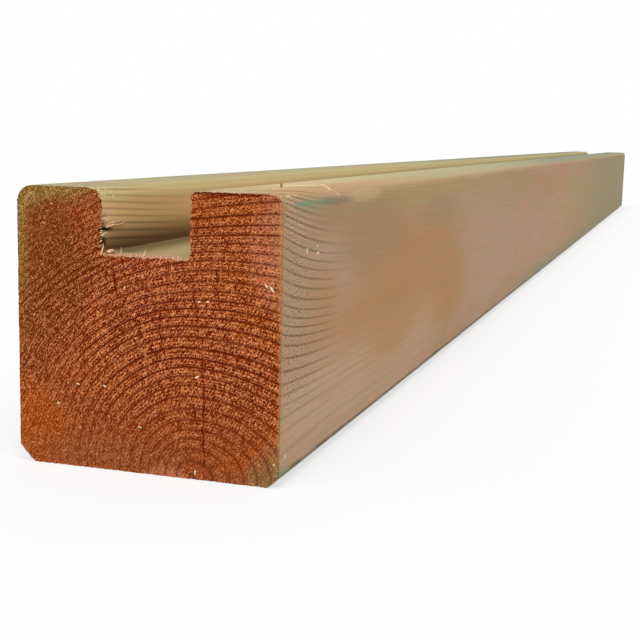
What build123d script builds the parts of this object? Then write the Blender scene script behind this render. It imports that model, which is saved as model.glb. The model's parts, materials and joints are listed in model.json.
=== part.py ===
from build123d import *
import os

# Sizes are in millimetres. The post lies with its groove facing up: X runs across it,
# Y along the grain and Z up, with the origin at the middle of its underside.

# The square timber
post_width = 95.0
post_height = 95.0
post_length = 1800.0

# The groove that takes the edge of a fence panel, open at both ends
groove_width = 31.0
groove_depth = 22.0
groove_root_round = 0.8

# The long outer edges: planed round above, knocked to a flat below
top_left_round = 6.0
top_right_round = 4.5
bottom_left_flat = 5.5
bottom_right_flat = 4.0

# The lips of the groove, the left one worn wider than the right
left_lip_round = 5.0
right_lip_round = 2.5


def corner_near(section, across, up):
    """The corner of the section that lies nearest to a point."""
    return section.vertices().sort_by_distance((across, up))[0]


def grooved_square():
    """The end of the post with all its corners still sharp."""
    with BuildSketch(Plane.XZ) as section:
        Rectangle(post_width, post_height, align=(Align.CENTER, Align.MIN))
        with Locations((0, post_height)):
            Rectangle(
                groove_width,
                groove_depth,
                align=(Align.CENTER, Align.MAX),
                mode=Mode.SUBTRACT,
            )
    return section


def ease_outer_edges(section):
    """Round the two edges beside the groove face and flatten the two below."""
    side = post_width / 2
    with section:
        fillet(corner_near(section, -side, post_height), top_left_round)
        fillet(corner_near(section, side, post_height), top_right_round)
        chamfer(corner_near(section, -side, 0), bottom_left_flat)
        chamfer(corner_near(section, side, 0), bottom_right_flat)


def ease_groove(section):
    """Wear the two lips of the groove and leave the cutter's small round at its roots."""
    wall = groove_width / 2
    floor = post_height - groove_depth
    with section:
        fillet(corner_near(section, -wall, post_height), left_lip_round)
        fillet(corner_near(section, wall, post_height), right_lip_round)
        fillet(corner_near(section, -wall, floor), groove_root_round)
        fillet(corner_near(section, wall, floor), groove_root_round)


def make_post():
    """One length of timber with the same section from sawn end to sawn end."""
    section = grooved_square()
    ease_outer_edges(section)
    ease_groove(section)
    return extrude(section.sketch, amount=post_length / 2, both=True)


post = make_post()
post.label = "post"

os.makedirs("parts", exist_ok=True)
export_step(post, "parts/post.step")
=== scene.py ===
import json
import math

import bpy
import numpy as np
from mathutils import Matrix, Vector
from mathutils.geometry import delaunay_2d_cdt


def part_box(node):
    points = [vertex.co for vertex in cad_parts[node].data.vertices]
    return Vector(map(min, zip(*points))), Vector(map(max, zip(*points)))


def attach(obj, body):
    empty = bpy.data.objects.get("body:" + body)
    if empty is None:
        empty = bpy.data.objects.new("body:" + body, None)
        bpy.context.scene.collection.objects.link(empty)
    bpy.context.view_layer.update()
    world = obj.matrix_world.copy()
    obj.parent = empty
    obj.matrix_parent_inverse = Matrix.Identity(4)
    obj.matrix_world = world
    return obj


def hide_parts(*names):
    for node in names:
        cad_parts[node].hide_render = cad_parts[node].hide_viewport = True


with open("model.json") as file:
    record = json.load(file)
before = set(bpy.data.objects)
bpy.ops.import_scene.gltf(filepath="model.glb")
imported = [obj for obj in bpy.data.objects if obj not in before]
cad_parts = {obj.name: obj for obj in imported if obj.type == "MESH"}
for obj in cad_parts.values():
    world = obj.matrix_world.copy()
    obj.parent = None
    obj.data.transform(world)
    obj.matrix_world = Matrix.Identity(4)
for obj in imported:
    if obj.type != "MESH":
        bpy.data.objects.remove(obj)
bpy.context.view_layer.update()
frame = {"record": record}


def tone(red, green, blue):
    """A colour as a screen shows it, 0 to 255, turned into the linear value that a shader takes."""
    parts = [value / 255.0 for value in (red, green, blue)]
    curved = [p / 12.92 if p <= 0.04045 else ((p + 0.055) / 1.055) ** 2.4 for p in parts]
    return (*curved, 1.0)


# Lengths here are in millimetres and are turned into metres where a mesh is made.
# X runs across the post, "along" is measured down the grain from the near end, Z is up.
MM = 0.001
low_corner, high_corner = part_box("post")
SIDE = high_corner.x / MM
TOP = high_corner.z / MM
NEAR_Y = low_corner.y / MM
LENGTH = (high_corner.y - low_corner.y) / MM
MOUNTS = {mount["name"]: mount for mount in frame["record"]["mounts"]}
GROOVE_FLOOR = MOUNTS["groove_floor"]["pos_m"][2] / MM
GROOVE_WALL = 15.5

# How each long edge is eased: two flats below, rounds above, worn lips and small roots
BOTTOM_LEFT_FLAT = 5.5
BOTTOM_RIGHT_FLAT = 4.0
TOP_LEFT_ROUND = 6.0
TOP_RIGHT_ROUND = 4.5
LEFT_LIP_ROUND = 5.0
RIGHT_LIP_ROUND = 2.5
ROOT_ROUND = 0.8

# Growth rings: where the pith crosses the near end, and how far it wanders over what length
PITH_ACROSS = 16.8
PITH_UP = 1.1
SLOW_WANDER = (2.5, 210.0)
QUICK_WANDER = (1.2, 83.0)

# How far the grain runs out down the post and curls at the near end, and over what length
RUN_OUT = 14.0
RUN_OUT_REACH = 250.0
CURL = 12.0
CURL_REACH = 32.0

# How the rings leave the round: wider to the right, closer to the left, tilted high up, wavy
WIDER_RIGHT = 0.304
CLOSER_LEFT = 0.024
HIGH_TILT = 0.238
RING_WAVER = 0.161

# Rings to a millimetre, how that changes outwards, how uneven it is, and the count at the pith
RINGS_PER_MM = 0.25778
RINGS_CLOSING_UP = 0.0006
UNEVEN_RINGS = 0.161
UNEVEN_REACH = 20.89
RINGS_AT_PITH = -4.359

# How crisp a ring's line is: the power that its wave is raised to
CRISP_LINE = 9.0

# Groups of rings with bold lines, counted out from the pith
BOLD_RINGS = (7.0, 11.5, 21.0)

# The direction of the saw's strokes on the ends, in degrees from level
SAW_SLANT = 57.0

# Hairline checks in the near end, from one point to another, across and up
CHECKS = (
    ((20.2, 42.0), (21.0, 28.6)),
    ((21.0, 28.6), (20.5, 17.4)),
    ((20.5, 17.4), (21.3, 5.0)),
    ((17.0, 25.0), (18.3, 19.5)),
    ((17.0, 62.0), (18.2, 54.3)),
    ((-11.9, 69.5), (-10.6, 60.0)),
    ((4.6, 53.0), (5.8, 44.0)),
    ((24.9, 70.0), (25.2, 62.0)),
    ((28.0, 45.5), (28.3, 41.5)),
)

# Half width of a check as it is cut into the end, and as it is shaded
CHECK_WIDTH = 0.5
CHECK_SHADE_WIDTH = 0.42

# How deep the sawn ends lie inside the post, less the fibres and more the hollows and lines
SAW_DEPTH = 0.5
FIBRE_HEIGHT = 0.24
HOLLOW_DEPTH = 0.12
RING_DEPTH = 0.16
CHECK_DEPTH = 0.35

# How far down the long faces the ends' unevenness fades out
SAW_REACH = 8.0

# Height of the split in the groove's broken-out left wall
SPLIT_UP = 81.2

# How far apart the skin's points lie round the section and over each sawn end
OUTLINE_SPACING = 0.72
END_PITCHES = (("near", 0.44), ("far", 1.5))

# A row's height over the ends, and how far the rows keep off the outline, as shares of the pitch
ROW_HEIGHT = 0.866
ROW_MARGIN = 0.55

# Colours of the sawn ends
RUST = tone(144, 62, 14)
ORANGE = tone(164, 71, 0)
CRIMSON = tone(148, 62, 28)
UMBER = tone(110, 54, 6)
SALMON = tone(190, 112, 78)
PALE_FIBRE = tone(212, 126, 77)
BRIGHT_FIBRE = tone(244, 170, 112)
# Near black: the pits and checks, and painted shade along the right cheek's top edge
PIT_AND_SHADE_DARK = tone(80, 6, 0)
FLECK = tone(226, 168, 112)
PALE_OLIVE = tone(204, 172, 108)
RING_BROWN = tone(90, 22, 0)
SAP_OLIVE = tone(136, 109, 48)
CORNER_GREY = tone(132, 115, 74)
WORN_RIM = tone(186, 130, 88)
PALE_HAZE = tone(198, 148, 116)

# Stains on the near end: middle, half width and half height, colour, strength
END_STAINS = (
    ((-4.0, 64.0), (26.0, 13.0), CRIMSON, 0.85),
    ((-34.0, 70.0), (19.0, 27.0), UMBER, 0.9),
    ((-42.0, 46.0), (11.0, 22.0), UMBER, 0.75),
    ((-41.0, 14.0), (13.0, 17.0), ORANGE, 0.8),
    ((-15.0, 33.0), (13.0, 10.0), ORANGE, 0.6),
    ((27.0, 89.0), (20.0, 7.0), ORANGE, 0.8),
    ((42.0, 54.0), (13.0, 9.0), ORANGE, 0.9),
    ((43.0, 78.0), (8.0, 18.0), SALMON, 0.8),
    ((-10.0, 4.0), (42.0, 9.0), CORNER_GREY, 0.14),
    ((9.0, 0.5), (9.0, 3.5), SALMON, 0.9),
)

# Colours of the planed faces
TAN = tone(178, 145, 113)
ROSE_TAN = tone(184, 148, 122)
HONEY = tone(180, 134, 92)
OCHRE = tone(176, 149, 103)
DUN = tone(166, 132, 96)
PALE_ROSE = tone(194, 160, 130)
MOSS = tone(160, 146, 98)
GREY_GREEN = tone(150, 152, 126)
CREAM = tone(212, 188, 144)
GRAIN_BROWN = tone(112, 84, 54)
CUT_WALL = tone(238, 198, 144)
# Dark brown at the groove's root: painted shade there with some dampness, and a painted shadow on
# the floor
ROOT_SHADE_AND_DAMP = tone(82, 60, 16)
LICHEN = tone(164, 150, 106)
# Near black: a mark on the right cheek's top, painted shade low in the groove, painted shadow in the
# torn wall
DARK_MARK_AND_SHADE = tone(46, 28, 8)
PALE_MOSS = tone(184, 175, 134)
PALE_CHIP = tone(238, 218, 168)
LIP_YELLOW = tone(188, 170, 116)
TOP_TAN = tone(188, 150, 111)
TOP_CREAM = tone(198, 180, 136)
YELLOW_MOSS = tone(174, 165, 124)
FADED_TOP = tone(174, 167, 130)
GREY_MOSS = tone(142, 149, 124)
FAR_TOP = tone(140, 142, 120)
FAR_GREY = tone(150, 142, 116)
DAMP_GREEN = tone(106, 116, 94)
# Painted shade along the bottom edge
BOTTOM_SHADE = tone(98, 96, 74)
COPPER_GREEN = tone(110, 148, 116)

# Drifts of colour down the sides: middle along and up, half length and half height, colour, strength
SIDE_DRIFTS = (
    ((35.0, 40.0), (70.0, 60.0), ROSE_TAN, 0.5),
    ((200.0, 42.0), (150.0, 34.0), HONEY, 0.9),
    ((190.0, 12.0), (60.0, 12.0), ROSE_TAN, 0.8),
    ((420.0, 55.0), (120.0, 45.0), ROSE_TAN, 0.9),
    ((480.0, 84.0), (160.0, 20.0), MOSS, 0.45),
    ((750.0, 78.0), (130.0, 14.0), HONEY, 0.5),
    ((700.0, 30.0), (200.0, 30.0), ROSE_TAN, 0.8),
    ((1200.0, 50.0), (420.0, 60.0), OCHRE, 0.9),
    ((900.0, 2.0), (600.0, 12.0), GREY_GREEN, 0.7),
    ((220.0, 88.0), (160.0, 6.0), OCHRE, 0.8),
    ((105.0, 76.0), (55.0, 18.0), DUN, 0.7),
    ((40.0, 18.0), (60.0, 18.0), PALE_ROSE, 0.7),
    ((150.0, 20.0), (90.0, 20.0), PALE_ROSE, 0.6),
    ((12.0, 86.0), (18.0, 9.0), PALE_ROSE, 0.85),
    ((52.0, 86.0), (20.0, 6.0), DUN, 0.6),
    ((42.0, 56.0), (22.0, 16.0), HONEY, 0.5),
    ((150.0, 34.0), (45.0, 14.0), HONEY, 0.6),
    ((245.0, 79.0), (55.0, 9.0), DUN, 0.6),
    ((96.0, 91.2), (24.0, 2.4), CREAM, 0.4),
)

# Marks on top of the right cheek: from and to, across and along, half width, colour, strength
TOP_MARKS = (
    ((23.6, 66.0), (33.0, 76.0), 3.6, PALE_CHIP, 0.9),
    ((16.3, 86.0), (29.5, 48.5), 0.6, DARK_MARK_AND_SHADE, 0.75),
    ((32.0, 87.0), (37.5, 74.0), 0.8, PALE_CHIP, 0.7),
    ((37.5, 74.0), (45.0, 56.0), 0.6, PALE_CHIP, 0.7),
    ((45.0, 56.0), (46.9, 61.5), 0.35, PALE_CHIP, 0.5),
)

# Sawdust on the near end: across and up
END_DUST = (
    (-7.6, 62.5), (19.0, 59.5), (22.0, 59.7), (42.0, 66.0), (44.0, 65.0), (-25.0, 28.7),
    (-15.0, 28.8), (-2.0, 16.0), (18.0, 2.5), (45.5, 8.0), (18.5, 34.7), (-32.5, 21.5),
)

# Sawdust on the right face: along and up, then half its length and height
SIDE_DUST = (
    ((24.5, 75.3), (0.9, 1.7)),
    ((36.0, 76.2), (1.5, 0.5)),
    ((36.6, 73.6), (2.2, 0.8)),
    ((5.8, 9.6), (0.7, 1.3)),
)

# Sawdust on the groove's left lip: along, and degrees up round the lip, sunk in by this much
LIP_DUST = ((16.4, 60.0), (9.3, 26.0), (2.6, 62.0))
LIP_DUST_SUNK = 0.25

# Splinters round the groove's mouth: points across, along and up, then half thickness
SPLINTERS = (
    (((-16.3, 0.5, 72.8), (-15.8, 0.55, 74.3), (-15.5, 0.9, 75.6), (-15.6, 1.2, 76.6)), 0.42),
    (((-15.9, 0.5, 79.2), (-15.0, 0.6, 79.8), (-14.6, 1.2, 80.3), (-14.8, 1.8, 80.4)), 0.40),
    (((-16.0, 0.6, 84.6), (-15.2, 0.8, 85.0), (-14.9, 1.4, 85.2), (-15.1, 2.4, 85.0)), 0.36),
    (((-14.6, 2.4, 73.7), (-14.3, 4.0, 74.0), (-14.5, 6.0, 74.1), (-14.8, 7.6, 73.8)), 0.95),
    (((-15.5, 3.0, 81.9), (-15.0, 7.0, 82.6), (-14.9, 11.0, 82.3), (-15.4, 17.0, 82.7)), 0.55),
    (((-15.5, 5.0, 83.0), (-15.1, 8.0, 83.3), (-15.1, 10.0, 83.1), (-15.4, 13.0, 83.4)), 0.40),
    (((-9.0, 0.5, 72.6), (-8.9, 0.7, 74.4), (-9.1, 1.1, 75.8)), 0.24),
    (((-1.0, 0.6, 72.7), (-0.9, 2.0, 74.4), (-1.1, 3.2, 75.6)), 0.22),
    (((7.4, 0.5, 72.6), (7.6, 0.8, 73.9), (7.2, 1.6, 74.6)), 0.2),
)

# Tufts of fuzz along the groove's floor and up its left wall
FLOOR_TUFTS = 44
WALL_TUFTS = 22

# The camera: its place, its turn, tip and roll in degrees, and its lens
CAMERA_SPOT = (169.2, -348.9, 113.6)
CAMERA_TURN = 17.36
CAMERA_TIP = 8.88
CAMERA_ROLL = 1.32
CAMERA_LENS = 66.65

# The surroundings: plain white, the floor's own grey, and half the floor's width in metres
WHITE = (1.0, 1.0, 1.0, 1.0)
FLOOR_GREY = (0.84, 0.84, 0.84, 1.0)
FLOOR_REACH = 30.0


class Wire:
    """An output of a shader node that can stand in a sum: each operator adds its Math node."""

    def __init__(self, tree, socket=None):
        self.tree = tree
        self.socket = socket

    def node(self, kind, settings=None, sockets=None, out=0):
        """Add a node, set it up, fill its sockets with values or wires, and give one output."""
        made = self.tree.nodes.new(kind)
        for name, value in (settings or {}).items():
            setattr(made, name, value)
        for key, value in (sockets or {}).items():
            if isinstance(value, Wire):
                self.tree.links.new(value.socket, made.inputs[key])
            else:
                made.inputs[key].default_value = value
        return Wire(self.tree, made.outputs[out] if made.outputs else None)

    def maths(self, operation, *values):
        """Add a Math node that works on these values."""
        return self.node("ShaderNodeMath", {"operation": operation}, dict(enumerate(values)))

    def __add__(self, other):
        return self.maths("ADD", self, other)

    def __radd__(self, other):
        return self.maths("ADD", other, self)

    def __sub__(self, other):
        return self.maths("SUBTRACT", self, other)

    def __rsub__(self, other):
        return self.maths("SUBTRACT", other, self)

    def __mul__(self, other):
        return self.maths("MULTIPLY", self, other)

    def __rmul__(self, other):
        return self.maths("MULTIPLY", other, self)

    def __truediv__(self, other):
        return self.maths("DIVIDE", self, other)

    def __pow__(self, other):
        return self.maths("POWER", self, other)

    def __rpow__(self, other):
        return self.maths("POWER", other, self)

    def __abs__(self):
        return self.maths("ABSOLUTE", self)


# The wood's own form, written once for numpy numbers and for shader values alike


def sine(value):
    """The sine of a number or of a wire."""
    return value.maths("SINE", value) if isinstance(value, Wire) else np.sin(value)


def limit(value):
    """The value kept between 0 and 1."""
    if isinstance(value, Wire):
        return value.node("ShaderNodeClamp", {}, {"Value": value})
    return np.clip(value, 0.0, 1.0)


def rise(value, start, end):
    """0 before start, 1 after end, and a smooth climb between them."""
    part = limit((value - start) / (end - start))
    return part * part * (3.0 - 2.0 * part)


def fall(value, start, end):
    """1 before start, 0 after end, and a smooth drop between them."""
    return 1.0 - rise(value, start, end)


def settled(along, distance):
    """0 at the near end, levelling out at 1 over a distance down the post."""
    return 1.0 - math.e ** (along / -distance)


def grain_drop(across, along, up):
    """How far the rings have sunk since the near end: the grain runs out downwards all over,
    and in the right side it also curls down at the end, most of all up by z 70."""
    run_out = RUN_OUT * settled(along, RUN_OUT_REACH)
    curl = CURL * rise(up, 8.0, 70.0) - 3.0 - 4.0 * rise(up, 72.0, 96.0)
    return run_out + curl * settled(along, CURL_REACH) * rise(across, 0.0, SIDE)


def ring_radius(across, along, up):
    """Distance from the pith: the rings are wider right of it, tilt up with height and waver."""
    wander = SLOW_WANDER[0] * sine(along / SLOW_WANDER[1])
    wander = wander + QUICK_WANDER[0] * sine(along / QUICK_WANDER[1])
    sideways = across - PITH_ACROSS - wander
    height = up - PITH_UP + grain_drop(across, along, up)
    widened = WIDER_RIGHT * rise(sideways, 0.0, 5.96) - CLOSER_LEFT * fall(sideways, -19.2, 0.0)
    beside = sideways * (1.0 - widened)
    above = height - HIGH_TILT * sideways * rise(height, 34.4, 114.2)
    waver = sine(sideways / 6.76 + height / 7.06) - sine(height / 7.06)
    return (beside * beside + above * above) ** 0.5 + RING_WAVER * waver


def ring_count(radius):
    """How many rings lie inside a radius: they come a little closer together further out."""
    uneven = UNEVEN_RINGS * sine((radius - 3.86) * math.tau / UNEVEN_REACH)
    even = RINGS_PER_MM * radius + RINGS_CLOSING_UP * radius * radius
    return even - uneven + RINGS_AT_PITH


def ring_line(radius, sharpness, further=0.0):
    """1 on the dark line that ends each ring, or a part of a ring further out, 0 between."""
    return (0.5 + 0.5 * sine((ring_count(radius) + (0.25 - further)) * math.tau)) ** sharpness


def between_rings(radius):
    """1 on the faint line halfway through each ring, as the planed side shows it near its top."""
    return ring_line(radius, CRISP_LINE, 0.5)


def late_wood(radius):
    """1 in the dense wood just inside each ring's line, fading out towards the pith."""
    return ring_line(radius, 3.0, -0.15)


def ring_strength(radius):
    """The rings in a few groups end in bold lines, and the others in faint ones."""
    bold = 0.0
    for middle in BOLD_RINGS:
        bold = bold + fall(abs(ring_count(radius) - middle), 1.0, 2.4)
    return 0.7 + 0.3 * limit(bold)


def clear_rings(across, up):
    """How clearly the near end shows its rings: less low down, lower left and upper left."""
    lower_left = rise(across * 0.6 + up * 0.35, -20.0, 8.0)
    upper_left = rise(across * -1.0, 14.0, 32.0) * rise(up, 64.0, 76.0)
    low = 0.75 + 0.25 * rise(up, 4.0, 30.0)
    return (0.3 + 0.7 * lower_left) * (1.0 - 0.65 * upper_left) * low


def check_mark(across, up, start, end, width):
    """1 in a hairline check between two points, 0 away from it."""
    run_across = end[0] - start[0]
    run_up = end[1] - start[1]
    length = math.hypot(run_across, run_up)
    beside = across - start[0]
    above = up - start[1]
    part = limit((beside * run_across + above * run_up) / length**2)
    wobble = 0.2 * sine(up * 1.1 + start[0])
    off_across = beside - part * run_across + wobble
    off_up = above - part * run_up
    distance = (off_across * off_across + off_up * off_up) ** 0.5
    return fall(distance, width * 0.35, width)


def all_checks(across, up, width):
    """1 in any of the near end's hairline checks, 0 away from them."""
    marks = 0.0
    for start, end in CHECKS:
        marks = marks + check_mark(across, up, start, end, width)
    return limit(marks)


# Meshes


class Roughness:
    """Smooth random heights between 0 and 1 on a plane, the same on every run."""

    TILE = 128

    def __init__(self, seed):
        self.heights = np.random.default_rng(seed).random((self.TILE, self.TILE))

    def corner(self, column, row):
        """The height at a whole place, repeated from tile to tile."""
        return self.heights[row % self.TILE, column % self.TILE]

    def __call__(self, u, v):
        column = np.floor(u).astype(int)
        row = np.floor(v).astype(int)
        right = u - column
        above = v - row
        right = right * right * (3.0 - 2.0 * right)
        above = above * above * (3.0 - 2.0 * above)
        lower = self.corner(column, row) * (1.0 - right) + self.corner(column + 1, row) * right
        upper = self.corner(column, row + 1) * (1.0 - right)
        upper = upper + self.corner(column + 1, row + 1) * right
        return lower * (1.0 - above) + upper * above


def turned(across, up, degrees):
    """The same point measured along a direction and square to it."""
    angle = math.radians(degrees)
    lengthwise = across * math.cos(angle) + up * math.sin(angle)
    sideways = up * math.cos(angle) - across * math.sin(angle)
    return lengthwise, sideways


SAW_STROKES = Roughness(11)
SAW_TUFTS = Roughness(12)
EDGE_CRUMBS = Roughness(13)
SIDE_DENTS = Roughness(14)


def arc_points(centre, radius, start_degrees, end_degrees, spacing):
    """Points round an arc, both ends included."""
    sweep = math.radians(end_degrees - start_degrees)
    count = max(3, round(abs(sweep) * radius / spacing) + 1)
    angles = math.radians(start_degrees) + sweep * np.linspace(0.0, 1.0, count)
    return [(centre[0] + radius * math.cos(a), centre[1] + radius * math.sin(a)) for a in angles]


def section_corners(spacing):
    """The section's outline, counterclockwise seen from the near end, with every edge eased."""
    flats = [(-SIDE, BOTTOM_LEFT_FLAT), (-SIDE + BOTTOM_LEFT_FLAT, 0.0)]
    flats += [(SIDE - BOTTOM_RIGHT_FLAT, 0.0), (SIDE, BOTTOM_RIGHT_FLAT)]
    shoulder = (SIDE - TOP_RIGHT_ROUND, TOP - TOP_RIGHT_ROUND)
    eased = arc_points(shoulder, TOP_RIGHT_ROUND, 0, 90, spacing)
    lip = (GROOVE_WALL + RIGHT_LIP_ROUND, TOP - RIGHT_LIP_ROUND)
    eased += arc_points(lip, RIGHT_LIP_ROUND, 90, 180, spacing)
    for side, start in ((1, 0), (-1, -90)):
        root = (side * (GROOVE_WALL - ROOT_ROUND), GROOVE_FLOOR + ROOT_ROUND)
        eased += arc_points(root, ROOT_ROUND, start, start - 90, spacing)
    lip = (-GROOVE_WALL - LEFT_LIP_ROUND, TOP - LEFT_LIP_ROUND)
    eased += arc_points(lip, LEFT_LIP_ROUND, 0, 90, spacing)
    shoulder = (-SIDE + TOP_LEFT_ROUND, TOP - TOP_LEFT_ROUND)
    eased += arc_points(shoulder, TOP_LEFT_ROUND, 90, 180, spacing)
    return np.array(flats + eased)


def even_outline(spacing):
    """The section's outline as evenly spaced points, with the direction into the wood at each."""
    corners = section_corners(spacing)
    loop = np.vstack([corners, corners[:1]])
    steps = np.hypot(*np.diff(loop, axis=0).T)
    reached = np.concatenate([[0.0], np.cumsum(steps)])
    count = round(reached[-1] / spacing)
    places = np.linspace(0.0, reached[-1], count, endpoint=False)
    points = np.column_stack([np.interp(places, reached, loop[:, axis]) for axis in (0, 1)])
    tangent = np.roll(points, -1, axis=0) - np.roll(points, 1, axis=0)
    tangent /= np.linalg.norm(tangent, axis=1)[:, None]
    inward = np.column_stack([-tangent[:, 1], tangent[:, 0]])
    return points, inward, places


def inside_distance(points, outline):
    """How deep each point lies inside the outline, negative outside it."""
    nearest = np.full(len(points), 1e9)
    odd = np.zeros(len(points), bool)
    for start, end in zip(outline, np.roll(outline, -1, axis=0)):
        run = end - start
        offset = points - start
        part = np.clip(offset @ run / (run @ run), 0.0, 1.0)
        nearest = np.minimum(nearest, np.hypot(*(offset - part[:, None] * run).T))
        crosses = (start[1] > points[:, 1]) != (end[1] > points[:, 1])
        if run[1]:
            odd ^= crosses & (points[:, 0] < start[0] + offset[:, 1] * run[0] / run[1])
    return np.where(odd, nearest, -nearest)


def honeycomb(pitch):
    """Points in staggered rows over the whole section."""
    rows = np.arange(0.0, TOP, pitch * ROW_HEIGHT)
    columns = np.arange(-SIDE, SIDE, pitch)
    across, up = np.meshgrid(columns, rows)
    across = across + (np.arange(len(rows)) % 2)[:, None] * pitch / 2
    return np.column_stack([across.ravel(), up.ravel()])


def fill_section(outline, pitch):
    """Triangles over the section: the outline's points first, then a honeycomb inside it."""
    cells = honeycomb(pitch)
    cells = cells[inside_distance(cells, outline) > pitch * ROW_MARGIN]
    points = np.vstack([outline, cells])
    count = len(outline)
    rim = [(i, (i + 1) % count) for i in range(count)]
    made = delaunay_2d_cdt([Vector(p) for p in points], rim, [], 1, 1e-6)
    return np.array([tuple(p) for p in made[0]]), np.array(made[2])


def saw_relief(across, up):
    """How deep the rough-sawn end lies below its highest fibres, and how proud each point is."""
    lengthwise, sideways = turned(across, up, SAW_SLANT)
    strokes = SAW_STROKES(lengthwise / 1.6, sideways / 0.62)
    tufts = SAW_TUFTS(across / 0.6, up / 0.6)
    coarse = SAW_TUFTS(across / 7.0 + 40.0, up / 7.0)
    radius = ring_radius(across, 0.0, up)
    line = ring_line(radius, 8.0) * ring_strength(radius) * clear_rings(across, up)
    lift = limit(0.6 * strokes + 0.4 * tufts)
    depth = SAW_DEPTH - FIBRE_HEIGHT * lift + HOLLOW_DEPTH * coarse + RING_DEPTH * line
    depth = depth + CHECK_DEPTH * all_checks(across, up, CHECK_WIDTH)
    return depth, lift


def tear_out(across, up, along):
    """The hollow broken out of the groove's left wall just behind the near end."""
    height = rise(up, 74.0, 76.0) * fall(up, 85.5, 88.0)
    wall = rise(across, -18.0, -15.7) * fall(across, -15.0, -13.0)
    jagged = SAW_TUFTS(up / 1.2 + 9.0, along / 2.6)
    hollow = rise(along, 0.0, 0.8) * fall(along, 1.6, 5.0)
    split = 1.4 * fall(abs(up - SPLIT_UP), 0.3, 0.9) * fall(along, 4.0, 8.0)
    return height * wall * (0.5 * jagged * fall(along, 0.5, 2.0) + 1.9 * jagged * hollow + split)


def side_relief(points, places, along):
    """How far the long faces lie inside the box: wavering edges, dents and a crumbled end."""
    across, up = points.T
    radius = ring_radius(across, along, up)
    from_end = min(along, LENGTH - along)
    groove = 0.05 * ring_line(radius, 6.0) * ring_strength(radius)
    crumbs = EDGE_CRUMBS(places / 0.8, np.full_like(places, along / 0.8))
    by_groove = fall(abs(across), GROOVE_WALL - 1.0, GROOVE_WALL + 7.0)
    by_groove = by_groove * rise(up, GROOVE_FLOOR - 1.0, GROOVE_FLOOR - 0.5)
    crumbled = (0.2 + 0.7 * by_groove) * crumbs**2 * fall(from_end, 0.0, 1.6)
    dents = 0.12 * SIDE_DENTS(places / 11.0, np.full_like(places, along / 60.0))
    return groove + crumbled + dents + tear_out(across, up, along)


def rows_along():
    """Where the rings of points sit down the post: close together at the near end."""
    near = 60.0 * np.linspace(0.0, 1.0, 38) ** 1.6
    middle = np.geomspace(75.0, LENGTH - 40.0, 14)
    far = LENGTH - np.array([20.0, 9.0, 4.0, 1.5, 0.0])
    return np.concatenate([near, middle, far])


def mesh_piece(name, points, faces, materials, face_slots=None, attributes=None):
    """A mesh object from points in millimetres, whose Y is measured along from the near end."""
    mesh = bpy.data.meshes.new(name)
    placed = np.array(points, float)
    placed[:, 1] += NEAR_Y
    mesh.from_pydata((placed * MM).tolist(), [], faces)
    for material in materials:
        mesh.materials.append(material)
    if face_slots is not None:
        mesh.polygons.foreach_set("material_index", face_slots)
    for attribute, values in (attributes or {}).items():
        layer = mesh.attributes.new(attribute, "FLOAT", "POINT")
        layer.data.foreach_set("value", values)
    mesh.polygons.foreach_set("use_smooth", np.ones(len(mesh.polygons), bool))
    mesh.validate()
    mesh.update()
    piece = bpy.data.objects.new(name, mesh)
    bpy.context.scene.collection.objects.link(piece)
    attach(piece, "root")
    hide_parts("post")
    return piece


def timber(long_grain, end_grain):
    """The whole post as one closed skin: sawn near end, long faces, sawn far end."""
    outline, inward, places = even_outline(OUTLINE_SPACING)
    count = len(outline)
    rows = rows_along()
    near_depth, near_lift = saw_relief(*outline.T)
    points = []
    for along in rows:
        eased = outline + inward * side_relief(outline, places, along)[:, None]
        by_the_end = fall(along, 0.0, SAW_REACH) - fall(LENGTH - along, 0.0, SAW_REACH)
        drawn = near_depth * by_the_end
        points.append(np.column_stack([eased[:, 0], along + drawn, eased[:, 1]]))
    points = np.vstack(points)
    lifts = np.tile(near_lift, len(rows))
    faces = []
    for row in range(len(rows) - 1):
        start = row * count
        for i in range(count):
            j = (i + 1) % count
            faces.append((start + i, start + j, start + count + j, start + count + i))
    slots = [0] * len(faces)
    for end, pitch in END_PITCHES:
        first = 0 if end == "near" else (len(rows) - 1) * count
        rim = points[first : first + count][:, [0, 2]]
        filled, triangles = fill_section(rim, pitch)
        depth, lift = saw_relief(filled[count:, 0], filled[count:, 1])
        along = depth if end == "near" else LENGTH - depth
        inner = np.column_stack([filled[count:, 0], along, filled[count:, 1]])
        moved = np.where(triangles < count, triangles + first, triangles - count + len(points))
        if end == "far":
            moved = moved[:, ::-1]
        faces += moved.tolist()
        slots += [1] * len(moved)
        points = np.vstack([points, inner])
        lifts = np.concatenate([lifts, lift])
    return mesh_piece(
        "post_timber", points, faces, [long_grain, end_grain], slots, {"lift": lifts}
    )


def splinter_shape(route, half_thickness):
    """A closed five-sided sliver along a route, drawn out thin at its far end."""
    route = np.array(route, float)
    steps = 7
    sides = 5
    reached = np.linspace(0.0, 1.0, len(route))
    places = np.linspace(0.0, 1.0, steps)
    spine = np.column_stack([np.interp(places, reached, route[:, axis]) for axis in range(3)])
    run = np.gradient(spine, axis=0)
    run /= np.linalg.norm(run, axis=1)[:, None]
    beside = np.cross(run, (0.31, 0.52, 0.8))
    beside /= np.linalg.norm(beside, axis=1)[:, None]
    above = np.cross(run, beside)
    turn = np.arange(sides) * math.tau / sides
    points = []
    for i, place in enumerate(places):
        reach = half_thickness * (1.0 - 0.8 * place**1.5) * (0.75 if i == 0 else 1.0)
        flat = np.cos(turn)[:, None] * beside[i] + 0.6 * np.sin(turn)[:, None] * above[i]
        points.append(spine[i] + reach * flat)
    last = (steps - 1) * sides
    faces = [tuple(range(sides))[::-1], tuple(range(last, last + sides))]
    for row in range(steps - 1):
        for i in range(sides):
            j = (i + 1) % sides
            start = row * sides
            faces.append((start + i, start + j, start + sides + j, start + sides + i))
    return np.vstack(points), faces


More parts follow.
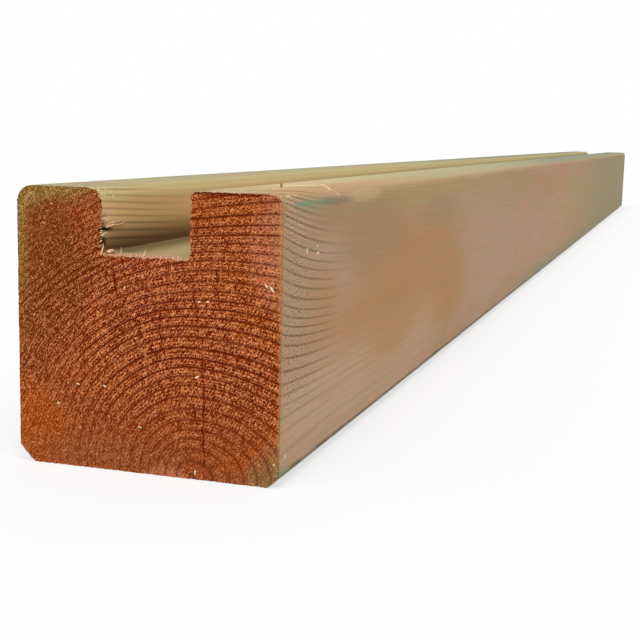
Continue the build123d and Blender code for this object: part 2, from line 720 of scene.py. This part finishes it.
def chip_shape(middle, right, upward, outward, size, chance):
    """A closed flake of sawdust that lies on a face, no two alike."""
    sides = 7
    turn = np.arange(sides) * math.tau / sides + chance.random() * math.tau
    reach = size * (0.75 + 0.5 * chance.random(sides))
    long_way = 1.0 + 0.5 * chance.random()
    flat = np.outer(np.cos(turn) * reach * long_way, right) + np.outer(np.sin(turn) * reach, upward)
    middle = np.array(middle)
    points = np.vstack([middle + flat, middle + 0.6 * flat + 0.35 * size * np.array(outward)])
    faces = [tuple(range(sides))[::-1], tuple(range(sides, 2 * sides))]
    for i in range(sides):
        j = (i + 1) % sides
        faces.append((i, j, sides + j, sides + i))
    return points, faces


def tuft_shape(foot, lean, half_thickness):
    """A short straight sliver that leans away from its foot."""
    tip = foot + lean
    return splinter_shape((foot, (foot + tip) / 2.0, tip), half_thickness)


def gathered(shapes):
    """Many small shapes as one list of points and one of faces."""
    points = []
    faces = []
    start = 0
    for shape_points, shape_faces in shapes:
        points.append(shape_points)
        faces += [tuple(start + corner for corner in face) for face in shape_faces]
        start += len(shape_points)
    return np.vstack(points), faces


def groove_splinters(material):
    """The slivers that the groove cutter tore up at the near end, and the fuzz round its mouth."""
    shapes = [splinter_shape(route, thickness) for route, thickness in SPLINTERS]
    chance = np.random.default_rng(21)
    for across in np.linspace(-14.0, 15.0, FLOOR_TUFTS):
        foot = np.array((across + chance.uniform(-0.4, 0.4), 0.55, GROOVE_FLOOR - 0.5))
        lean = chance.uniform(-0.5, 0.5), chance.uniform(0.1, 1.2), chance.uniform(0.7, 1.5)
        shapes.append(tuft_shape(foot, lean, chance.uniform(0.12, 0.22)))
    for up in np.linspace(76.0, 93.0, WALL_TUFTS):
        reach = 0.9 if up < 89.0 else 1.8
        foot = np.array((-GROOVE_WALL - reach, 0.5, up + chance.uniform(-0.3, 0.3)))
        lean = reach + chance.uniform(-0.5, 0.4), chance.uniform(0.1, 0.9), chance.uniform(-0.2, 0.7)
        shapes.append(tuft_shape(foot, lean, chance.uniform(0.12, 0.24)))
    return mesh_piece("groove_splinters", *gathered(shapes), [material])


def sawdust(material):
    """Pale flakes that stick to the near end and to the start of the right face."""
    chance = np.random.default_rng(22)
    shapes = []
    for across, up in END_DUST:
        slant = chance.uniform(0.0, math.pi)
        right = 1.3 * np.array((math.cos(slant), 0.0, math.sin(slant)))
        upward = 0.7 * np.array((-math.sin(slant), 0.0, math.cos(slant)))
        size = chance.uniform(0.35, 0.6)
        shapes.append(chip_shape((across, 0.4, up), right, upward, (0, -0.6, 0), size, chance))
    for (along, up), (half_length, half_height) in SIDE_DUST:
        middle = (SIDE - 0.3, along, up)
        right = (0, half_length, 0)
        upward = (0, 0, half_height)
        shapes.append(chip_shape(middle, right, upward, (0.85, 0, 0), 1.0, chance))
    for along, degrees in LIP_DUST:
        angle = math.radians(degrees)
        outward = np.array((math.cos(angle), 0.0, math.sin(angle)))
        centre = (-GROOVE_WALL - LEFT_LIP_ROUND, along, TOP - LEFT_LIP_ROUND)
        middle = centre + (LEFT_LIP_ROUND - LIP_DUST_SUNK) * outward
        down = (math.sin(angle), 0.0, -math.cos(angle))
        shapes.append(chip_shape(middle, (0, 1, 0), down, outward, 0.5, chance))
    return mesh_piece("sawdust_flakes", *gathered(shapes), [material])


# Materials


def tinted(base, colour, amount):
    """The base colour, taken towards another colour by an amount from 0 to 1."""
    sockets = {0: amount, 6: base, 7: colour}
    return amount.node("ShaderNodeMix", {"data_type": "RGBA"}, sockets, out=2)


def joined(across, along, up):
    """Three values as one point."""
    return across.node("ShaderNodeCombineXYZ", {}, {0: across, 1: along, 2: up})


def noise(point, size, detail=2.0, roughness=0.5):
    """Cloudy noise from 0 to 1 whose blotches are about this many millimetres wide."""
    sockets = {"Vector": point, "Scale": 1.0 / size, "Detail": detail, "Roughness": roughness}
    return point.node("ShaderNodeTexNoise", {}, sockets)


def stain(across, up, middle, size, ragged):
    """1 in the middle of a stain, 0 outside its ragged oval."""
    beside = (across - middle[0]) / size[0]
    above = (up - middle[1]) / size[1]
    return fall((beside * beside + above * above) ** 0.5 + ragged, 0.45, 1.25)


def new_material(name):
    """An empty material, with its shader's wire and the place being shaded."""
    material = bpy.data.materials.new(name)
    material.use_nodes = True
    tree = material.node_tree
    tree.nodes.clear()
    start = Wire(tree)
    place = start.node("ShaderNodeTexCoord", out="Object")
    scaling = {"operation": "SCALE"}
    place = start.node("ShaderNodeVectorMath", scaling, {0: place, "Scale": 1.0 / MM})
    xyz = [start.node("ShaderNodeSeparateXYZ", {}, {0: place}, out=axis) for axis in range(3)]
    return material, start, (xyz[0], xyz[1] - NEAR_Y, xyz[2])


def finish_material(start, colour, roughness, height, bump_distance, bump_strength):
    """Join the colour, roughness and bump to a plain surface shader."""
    sockets = {"Strength": bump_strength, "Distance": bump_distance * MM, "Height": height}
    bump = start.node("ShaderNodeBump", {}, sockets)
    sockets = {
        "Base Color": colour,
        "Roughness": roughness,
        "Specular IOR Level": 0.06,
        "Normal": bump,
    }
    shader = start.node("ShaderNodeBsdfPrincipled", {}, sockets)
    start.node("ShaderNodeOutputMaterial", {}, {"Surface": shader})


def stained_end(point, across, up):
    """The sawn end's ground colour: red-brown with drifts of orange and the larger stains."""
    ragged = (noise(point, 9.0, 3.0) - 0.5) * 1.1
    colour = tinted(RUST, ORANGE, rise(noise(point, 26.0, 2.0), 0.48, 0.66) * 0.7)
    for middle, size, stained, strength in END_STAINS:
        colour = tinted(colour, stained, stain(across, up, middle, size, ragged) * strength)
    return colour


def sapwood_border(across, up, frayed):
    """1 in the sapwood along the top left edge, the left edge and the corner between them."""
    top_band = rise(up + frayed, TOP - 7.5, TOP) * fall(across, -28.0, -14.0)
    left_band = fall(across + SIDE + frayed, -0.5, 6.0) * rise(up, 40.0, 74.0)
    corner = fall((TOP - up) + (across + SIDE) + 2.0 * frayed, 4.0, 19.0)
    return limit(top_band + left_band + corner)


def end_borders(colour, across, up, wavering, from_side, sapwood):
    """Olive sapwood, a grey low corner, a salmon lip by the groove and a haze at the right edge."""
    colour = tinted(colour, SAP_OLIVE, sapwood * 0.9)
    low_right = fall((SIDE - across) + up * 0.9 + 1.6 * wavering, 6.0, 22.0)
    colour = tinted(colour, CORNER_GREY, low_right * 0.9)
    lip = fall(abs(across - GROOVE_WALL) + wavering * 0.1, 0.3, 1.3) * rise(up, 72.0, 74.0)
    colour = tinted(colour, SALMON, lip * 0.8)
    haze = fall(from_side, 1.0, 7.0) * rise(up, 50.0, 64.0)
    return tinted(colour, PALE_HAZE, haze * 0.35)


def torn_grain(point, place, radius, lift, dense, clear):
    """How proud the fibres stand: in saw strokes, and along the rings in the right cheek."""
    across, along, up = place
    lengthwise, sideways = turned(across, up, SAW_SLANT)
    strokes = noise(joined(lengthwise / 2.6, along, sideways), 0.33, 1.0, 0.6)
    hatching = sine(sideways * 6.0 + 8.0 * noise(point, 2.5, 1.0))
    rows = noise(joined(across / 1.8, along, radius), 0.34, 1.0, 0.6)
    in_rows = 0.15 + 0.75 * rise(across, 4.0, 24.0) * rise(up, 56.0, 74.0)
    fine_rows = sine(ring_count(radius) * 3.0 * math.tau) * clear
    fibres = strokes * (1.0 - in_rows) + rows * in_rows
    specks = noise(point, 0.3, 0.0)
    grain = 0.1 * lift + 0.56 * fibres + 0.34 * specks + 0.03 * fine_rows - 0.04 * dense
    return grain + 0.025 * hatching * (1.0 - in_rows)


def fibre_boldness(across, up):
    """How strongly the fibres show: less near the bottom, the left edge and the upper left."""
    bold = 0.42 + 0.58 * rise(across, -40.0, -10.0)
    bold = 0.5 + 0.5 * rise(up, 6.0, 34.0) * bold * (1.0 - 0.25 * rise(up, 66.0, 84.0))
    return bold * (1.0 - 0.3 * fall(across, -30.0, -14.0) * rise(up, 56.0, 70.0))


def torn_fibres(colour, grain, bold, sapwood, dense):
    """Pale fibres, the brightest of them in the middle of the end, and dark pits between them."""
    pale = rise(grain, 0.505, 0.55) * bold * (0.98 - 0.6 * sapwood)
    colour = tinted(colour, PALE_FIBRE, pale)
    bright = rise(grain, 0.58, 0.66) * bold * bold * (0.7 - 0.7 * sapwood)
    colour = tinted(colour, BRIGHT_FIBRE, bright)
    colour = tinted(colour, PALE_OLIVE, rise(grain, 0.52, 0.59) * sapwood * 0.65)
    return tinted(colour, PIT_AND_SHADE_DARK, fall(grain, 0.425, 0.475) * bold * (1.0 - 0.5 * dense))


def end_rims(colour, across, up, from_side):
    """The worn pale rim down the right edge, and painted shade along the right cheek's top edge."""
    rim = fall(from_side, 0.5, 1.3 + rise(up, 54.0, 62.0)) * rise(up, 8.0, 14.0)
    colour = tinted(colour, WORN_RIM, rim * 0.65)
    # Painted shade along the top edge of the right cheek
    shaded_top_rim = rise(up, TOP - 1.5, TOP - 0.7) * rise(across, 15.0, 19.0) * fall(across, 37.0, 42.0)
    return tinted(colour, PIT_AND_SHADE_DARK, shaded_top_rim * 0.7)


def end_grain_material():
    """Rough-sawn end grain: red-brown, with dark ring lines, pale torn fibres and dark pits."""
    material, start, place = new_material("sawn end grain")
    across, along, up = place
    point = joined(across, along, up)
    lift = start.node("ShaderNodeAttribute", {"attribute_name": "lift"}, out="Fac")
    radius = ring_radius(across, 0.0 * along, up)
    clear = clear_rings(across, up)
    line = ring_line(radius, CRISP_LINE) * ring_strength(radius) * clear
    dense = late_wood(radius) * clear

    wavering = (noise(point, 4.0, 3.0) - 0.5) * 8.0
    frayed = (noise(point, 1.6, 3.0) - 0.5) * 5.0
    from_side = SIDE - across + frayed * 0.5
    sapwood = sapwood_border(across, up, frayed)
    colour = stained_end(point, across, up)
    colour = end_borders(colour, across, up, wavering, from_side, sapwood)
    colour = tinted(colour, RING_BROWN, dense * 0.2)

    grain = torn_grain(point, place, radius, lift, dense, clear)
    colour = torn_fibres(colour, grain, fibre_boldness(across, up), sapwood, dense)
    patchy = 0.8 + 0.2 * rise(noise(point, 5.0, 1.0), 0.4, 0.55)
    colour = tinted(colour, RING_BROWN, line * patchy)
    colour = end_rims(colour, across, up, from_side)
    colour = tinted(colour, FLECK, rise(noise(point, 0.8, 0.0), 0.79, 0.82) * 0.6)
    broken = 0.45 + 0.45 * rise(noise(point, 2.2, 1.0), 0.42, 0.58)
    colour = tinted(colour, PIT_AND_SHADE_DARK, all_checks(across, up, CHECK_SHADE_WIDTH) * broken)

    height = grain - 0.25 * line
    finish_material(start, colour, 0.95 - 0.1 * grain, height, 0.6, 0.9)
    return material


def drifting_tan(place, stretched, ragged):
    """The planed faces' ground colour: tan and rose, with drifts and thin streaks down the post."""
    across, along, up = place
    colour = tinted(TAN, ROSE_TAN, rise(noise(stretched, 14.0), 0.42, 0.62))
    for middle, size, drift, strength in SIDE_DRIFTS:
        colour = tinted(colour, drift, stain(along, up, middle, size, ragged) * strength)
    streaks = noise(joined(across, along / 40.0, up), 2.2, 2.0)
    colour = tinted(colour, HONEY, rise(streaks, 0.52, 0.66) * 0.35)
    return tinted(colour, MOSS, fall(streaks, 0.36, 0.48) * 0.3)


def cheek_tops(colour, place, top, ragged):
    """Tan and cream on the right cheek's top, moss on the left one's, both greyer further down."""
    across, along, up = place
    on_right = top * rise(across, GROOVE_WALL - 1.0, GROOVE_WALL)
    on_left = fall(across, -GROOVE_WALL - 2.0, -GROOVE_WALL + 2.0) * rise(up, TOP - 5.5, TOP - 3.0)
    colour = tinted(colour, TOP_TAN, on_right * 0.85)
    creamy = on_right * fall(across + ragged * 6.0, 27.0, 42.0)
    colour = tinted(colour, TOP_CREAM, creamy * (0.7 + 0.3 * rise(along, 40.0, 120.0)))
    colour = tinted(colour, YELLOW_MOSS, on_left * 0.85)
    colour = tinted(colour, FADED_TOP, on_right * rise(along, 60.0, 260.0) * 0.8)
    outermost = fall(across, -46.0, -30.0) * rise(up, TOP - 9.0, TOP - 6.0)
    colour = tinted(colour, GREY_MOSS, outermost * rise(along, 30.0, 130.0) * 0.9)
    return tinted(colour, FAR_TOP, limit(on_left + on_right) * rise(along, 300.0, 950.0) * 0.85)


def top_marks(colour, place):
    """The scratch, the dark mark and the pale patch on top of the right cheek."""
    across, along, up = place
    cheek = rise(across, GROOVE_WALL - 1.0, GROOVE_WALL) * rise(up, TOP - 6.0, TOP - 4.0)
    for first, last, width, paint, strength in TOP_MARKS:
        mark = check_mark(across, along, first, last, width) * cheek
        colour = tinted(colour, paint, mark * strength)
    return colour


def groove_places(across, up):
    """1 in the whole groove, 1 on its floor alone and 1 on its walls alone."""
    in_groove = fall(abs(across), GROOVE_WALL + 0.8, GROOVE_WALL + 1.6)
    in_groove = in_groove * rise(up, GROOVE_FLOOR - 1.5, GROOVE_FLOOR - 1.0)
    on_floor = in_groove * fall(up, GROOVE_FLOOR + 0.2, GROOVE_FLOOR + 1.0)
    return in_groove, on_floor, in_groove * (1.0 - on_floor)


def groove_colours(colour, across, along, on_floor, on_wall, shade_and_damp):
    """Pale cut walls with painted light far down, and painted shade and dampness at the root; lichen
    and a painted shadow on the floor.
    """
    colour = tinted(colour, CUT_WALL, on_wall * (0.85 + 0.15 * rise(along, 40.0, 100.0)))
    # Walls darker towards the root: painted shade, with some dampness
    colour = tinted(colour, ROOT_SHADE_AND_DAMP, shade_and_damp * (0.3 + 0.6 * fall(along, 60.0, 160.0)))
    colour = tinted(colour, SALMON, on_floor * fall(along, 2.0, 8.0) * 0.5)
    colour = tinted(colour, LICHEN, on_floor * rise(along, 5.0, 18.0) * 0.9)
    # A painted shadow on the floor's left part, by the left wall's root
    painted_root_shadow = on_floor * fall(across, -14.0, 0.0) * rise(along, 6.0, 16.0)
    colour = tinted(colour, ROOT_SHADE_AND_DAMP, painted_root_shadow * 0.6)
    # Walls painted lighter further down the post: painted light that lifts the groove's shade
    colour = tinted(colour, CREAM, on_wall * rise(along, 150.0, 230.0) * 0.8)
    return tinted(colour, PALE_MOSS, on_wall * rise(along, 300.0, 550.0) * 0.6)


def worn_lip(across, up):
    """1 on the worn left lip of the groove."""
    inner = fall(across, -GROOVE_WALL - 0.5, -GROOVE_WALL + 0.5)
    outer = rise(across, -GROOVE_WALL - 6.0, -GROOVE_WALL - 4.0)
    return rise(up, TOP - 6.0, TOP - 4.0) * inner * outer


def grain_lines(colour, along, up, line, speckle, in_groove):
    """The rings as brown lines near the sawn end, shorter near the top, fainter near the bottom."""
    fading = 72.0 - 26.0 * rise(up, 74.0, 88.0)
    shown = fall(along, 20.0, fading) * (0.2 + 0.8 * rise(up, 14.0, 44.0)) * (1.0 - in_groove)
    marked = line * (0.04 + 0.96 * shown) * (1.0 - 0.8 * in_groove)
    return tinted(colour, GRAIN_BROWN, marked * (0.75 + 0.25 * fall(speckle, 0.42, 0.56)))


def groove_lines(colour, along, radius, on_wall, shade_and_damp):
    """The rings as soft lines on the groove's walls, darker towards the root by painted shade and
    dampness.
    """
    soft_line = ring_line(radius, 3.0) * fall(along, 10.0, 80.0) * on_wall
    # Ring lines darker towards the root: painted shade, with some dampness
    colour = tinted(colour, GRAIN_BROWN, soft_line * (0.45 + 0.3 * shade_and_damp))
    return tinted(colour, DARK_MARK_AND_SHADE, soft_line * shade_and_damp * 0.35)


def dusted(colour, place, speckle, in_groove, on_top):
    """Pale dust, dark specks and pits near the sawn end, and pale chips on the tops and the lip."""
    across, along, up = place
    dusty = fall(along, 12.0, 44.0) * (0.4 + 0.6 * rise(up, 14.0, 40.0))
    dusty = dusty * (1.0 - 0.85 * limit(in_groove + on_top))
    colour = tinted(colour, CREAM, rise(speckle, 0.54, 0.66) * dusty * 0.4)
    colour = tinted(colour, GRAIN_BROWN, fall(speckle, 0.34, 0.45) * dusty * 0.65)
    pits = fall(noise(joined(across, along / 1.6, up), 0.8, 0.0), 0.25, 0.31)
    pits = pits * dusty * (0.3 + 0.7 * fall(abs(up - 46.0), 12.0, 26.0))
    colour = tinted(colour, GRAIN_BROWN, pits * 0.8)
    chips = rise(noise(joined(across, along, up), 0.8, 0.0), 0.68, 0.72) * fall(along, 10.0, 26.0)
    return tinted(colour, PALE_CHIP, chips * limit(on_top) * 0.7)


def torn_wall(colour, place):
    """Painted shadow in the gaps and the split where the groove's left wall is broken out."""
    across, along, up = place
    # Painted shadow in two gaps and in the split, where the wall is broken out
    gaps = fall(abs(up - 82.8), 0.7, 1.6) + fall(abs(up - 77.3), 1.0, 2.2)
    gaps = gaps * fall(along, 2.2, 4.5)
    split = fall(abs(up - SPLIT_UP), 0.3, 0.8) * fall(along, 5.0, 9.0)
    broken = fall(across, -14.0, -13.0) * rise(across, -19.0, -18.0)
    return tinted(colour, DARK_MARK_AND_SHADE, limit(gaps * 0.9 + split) * broken)


def copper_streak(colour, place, line, radius, wavering, on_right_face):
    """The green streak of preservative under the right face's top edge, and its haze below."""
    across, along, up = place
    middle = 91.6 - along * 0.018
    thickness = 0.25 + 0.85 * rise(along, 6.0, 40.0)
    combed = sine(ring_count(radius) * math.tau)
    off_streak = abs(up - middle + wavering * 0.2 + combed * 0.25) / thickness
    streak = fall(off_streak, 0.2, 1.7) * rise(across, SIDE - 3.0, SIDE - 1.0)
    streak = streak * (1.0 - 0.45 * line)
    green = streak * rise(along, 5.0, 14.0) * fall(along, 28.0, 62.0)
    colour = tinted(colour, COPPER_GREEN, green * 0.85)
    tail = streak * rise(along, 28.0, 50.0) * fall(along, 62.0, 92.0)
    colour = tinted(colour, DAMP_GREEN, tail * 0.6)
    below = fall(middle - up + wavering, 1.0, 6.0) * rise(middle - up, -1.0, 1.0)
    below = below * on_right_face * rise(along, 10.0, 24.0) * fall(along, 34.0, 60.0)
    return tinted(colour, COPPER_GREEN, below * 0.3)


def face_borders(colour, place, wavering, on_right_face):
    """Painted shade along the bottom edge, green in its near corner, moss and wear by the sawn end.
    """
    across, along, up = place
    mottled = noise(joined(across, along / 3.0, up), 2.4, 2.0)
    # Painted shade along the bottom edge, mottled
    bottom = fall(up + wavering * 0.4, 4.3, 5.6) * (0.5 + 0.5 * fall(mottled, 0.4, 0.58))
    colour = tinted(colour, BOTTOM_SHADE, bottom * 0.85)
    corner = fall(up + along * 0.35 + wavering * 0.6, 5.0, 9.0) * on_right_face
    colour = tinted(colour, COPPER_GREEN, corner * 0.75)
    outside = rise(abs(across), SIDE - 2.0, SIDE - 0.5) * rise(up, 8.0, 20.0)
    colour = tinted(colour, MOSS, outside * fall(along + wavering * 0.6, 1.0, 4.5) * 0.45)
    crumbly = noise(joined(across, along, up), 0.7, 1.0)
    bitten = fall(along + (crumbly - 0.5) * 4.0, 0.5, 1.2)
    return tinted(colour, WORN_RIM, outside * bitten * 0.35)


def long_grain_material():
    """The planed long faces: pale tan with drifts of rose, honey and moss and fine grain lines."""
    material, start, place = new_material("planed long grain")
    across, along, up = place
    stretched = joined(across, along / 8.0, up)
    radius = ring_radius(across, along, up)
    line = ring_line(radius, CRISP_LINE) * (0.6 + 0.4 * ring_strength(radius))
    by_the_edge = rise(up, 75.0, 85.0) * rise(across, SIDE - 4.0, SIDE - 1.0)
    line = limit(line + between_rings(radius) * by_the_edge * 0.65)

    ragged = (noise(joined(across, along / 4.0, up), 30.0, 3.0) - 0.5) * 1.2
    colour = drifting_tan(place, stretched, ragged)
    top = rise(up, TOP - 2.5, TOP - 0.3)
    colour = cheek_tops(colour, place, top, ragged)
    colour = top_marks(colour, place)

    in_groove, on_floor, on_wall = groove_places(across, up)
    # Painted shade with some dampness on the groove's walls, strongest at the root
    shade_and_damp = on_wall * fall(up, GROOVE_FLOOR + 1.0, TOP - 9.0)
    colour = groove_colours(colour, across, along, on_floor, on_wall, shade_and_damp)
    lip = worn_lip(across, up)
    colour = tinted(colour, LIP_YELLOW, lip * 0.7)

    speckle = noise(joined(across, along / 1.6, up), 0.6, 1.0)
    colour = grain_lines(colour, along, up, line, speckle, in_groove)
    colour = groove_lines(colour, along, radius, on_wall, shade_and_damp)
    colour = dusted(colour, place, speckle, in_groove, lip + top)
    colour = torn_wall(colour, place)

    wavering = (noise(stretched, 3.0, 2.0) - 0.5) * 5.0
    on_right_face = rise(across, SIDE - 7.0, SIDE - 1.0)
    colour = copper_streak(colour, place, line, radius, wavering, on_right_face)
    colour = face_borders(colour, place, wavering, on_right_face)
    far_half = rise(along, 800.0, 1400.0) * fall(up, TOP - 5.0, TOP - 2.0)
    colour = tinted(colour, FAR_GREY, far_half * 0.7)

    height = 0.6 * (1.0 - line * (1.0 - 0.8 * in_groove)) + 0.4 * speckle
    finish_material(start, colour, 0.8 - 0.08 * speckle, height, 0.25, 0.6)
    return material


def fibre_material(name, pale, dark):
    """Torn fibres and sawdust: pale, with a little of the wood's colour in patches."""
    material, start, place = new_material(name)
    speckle = noise(joined(*place), 0.8, 2.0)
    colour = tinted(pale, dark, rise(speckle, 0.45, 0.65) * 0.8)
    finish_material(start, colour, 0.9 - 0.1 * speckle, speckle, 0.1, 0.4)
    return material


# Floor, light and camera


def floor_material():
    """A pale floor that shows white to the camera and still darkens in the post's shadow."""
    material = bpy.data.materials.new("pale floor")
    material.use_nodes = True
    tree = material.node_tree
    tree.nodes.clear()
    start = Wire(tree)
    seen = start.node("ShaderNodeLightPath", out="Is Camera Ray")
    matt = start.node("ShaderNodeBsdfDiffuse", {}, {"Color": FLOOR_GREY})
    white = start.node("ShaderNodeEmission", {}, {"Color": WHITE, "Strength": 1.0})
    shown = start.node("ShaderNodeMixShader", {}, {0: seen * 0.65, 1: matt, 2: white})
    start.node("ShaderNodeOutputMaterial", {}, {"Surface": shown})
    return material


def lay_floor():
    """A flat floor under the post, much wider than the camera sees."""
    sides = ((-1, -1), (1, -1), (1, 1), (-1, 1))
    corners = [(x * FLOOR_REACH, y * FLOOR_REACH, 0.0) for x, y in sides]
    mesh = bpy.data.meshes.new("floor")
    mesh.from_pydata(corners, [], [(0, 1, 2, 3)])
    mesh.materials.append(floor_material())
    floor = bpy.data.objects.new("floor", mesh)
    bpy.context.scene.collection.objects.link(floor)


def light_world():
    """An even grey sky that lights the post and shows white to the camera."""
    world = bpy.data.worlds.new("studio")
    bpy.context.scene.world = world
    world.use_nodes = True
    tree = world.node_tree
    tree.nodes.clear()
    start = Wire(tree)
    seen = start.node("ShaderNodeLightPath", out="Is Camera Ray")
    sky = start.node("ShaderNodeBackground", {}, {"Color": WHITE, "Strength": 0.55})
    white = start.node("ShaderNodeBackground", {}, {"Color": WHITE, "Strength": 1.0})
    shown = start.node("ShaderNodeMixShader", {}, {0: seen, 1: sky, 2: white})
    start.node("ShaderNodeOutputWorld", {}, {"Surface": shown})


def soft_sun(name, toward, strength, spread_degrees):
    """A wide soft light from one direction, the same all along the post."""
    lamp = bpy.data.lights.new(name, "SUN")
    lamp.energy = strength
    lamp.angle = math.radians(spread_degrees)
    holder = bpy.data.objects.new(name, lamp)
    holder.rotation_mode = "QUATERNION"
    holder.rotation_quaternion = Vector(toward).to_track_quat("Z", "Y")
    bpy.context.scene.collection.objects.link(holder)


def place_camera():
    """The camera close to the near end, to its right and a little above the post."""
    camera = bpy.data.cameras.new("camera")
    camera.sensor_width = 36.0
    camera.lens = CAMERA_LENS
    camera.clip_start = 0.01
    camera.clip_end = 100.0
    holder = bpy.data.objects.new("camera", camera)
    across, along, up = CAMERA_SPOT
    spot = Vector((across, NEAR_Y + along, up)) * MM
    heading = Matrix.Rotation(math.radians(CAMERA_TURN), 4, "Z")
    tip = Matrix.Rotation(math.radians(90.0 - CAMERA_TIP), 4, "X")
    roll = Matrix.Rotation(math.radians(CAMERA_ROLL), 4, "Z")
    holder.matrix_world = Matrix.Translation(spot) @ heading @ tip @ roll
    bpy.context.scene.collection.objects.link(holder)
    bpy.context.scene.camera = holder


place_camera()
lay_floor()
light_world()
soft_sun("overhead", toward=(0.12, -0.42, 0.9), strength=2.2, spread_degrees=50.0)

timber(long_grain_material(), end_grain_material())
groove_splinters(fibre_material("torn fibres", tone(236, 204, 160), tone(206, 140, 106)))
sawdust(fibre_material("sawdust", tone(232, 212, 170), tone(220, 186, 138)))

bpy.context.scene.view_settings.view_transform = "Standard"
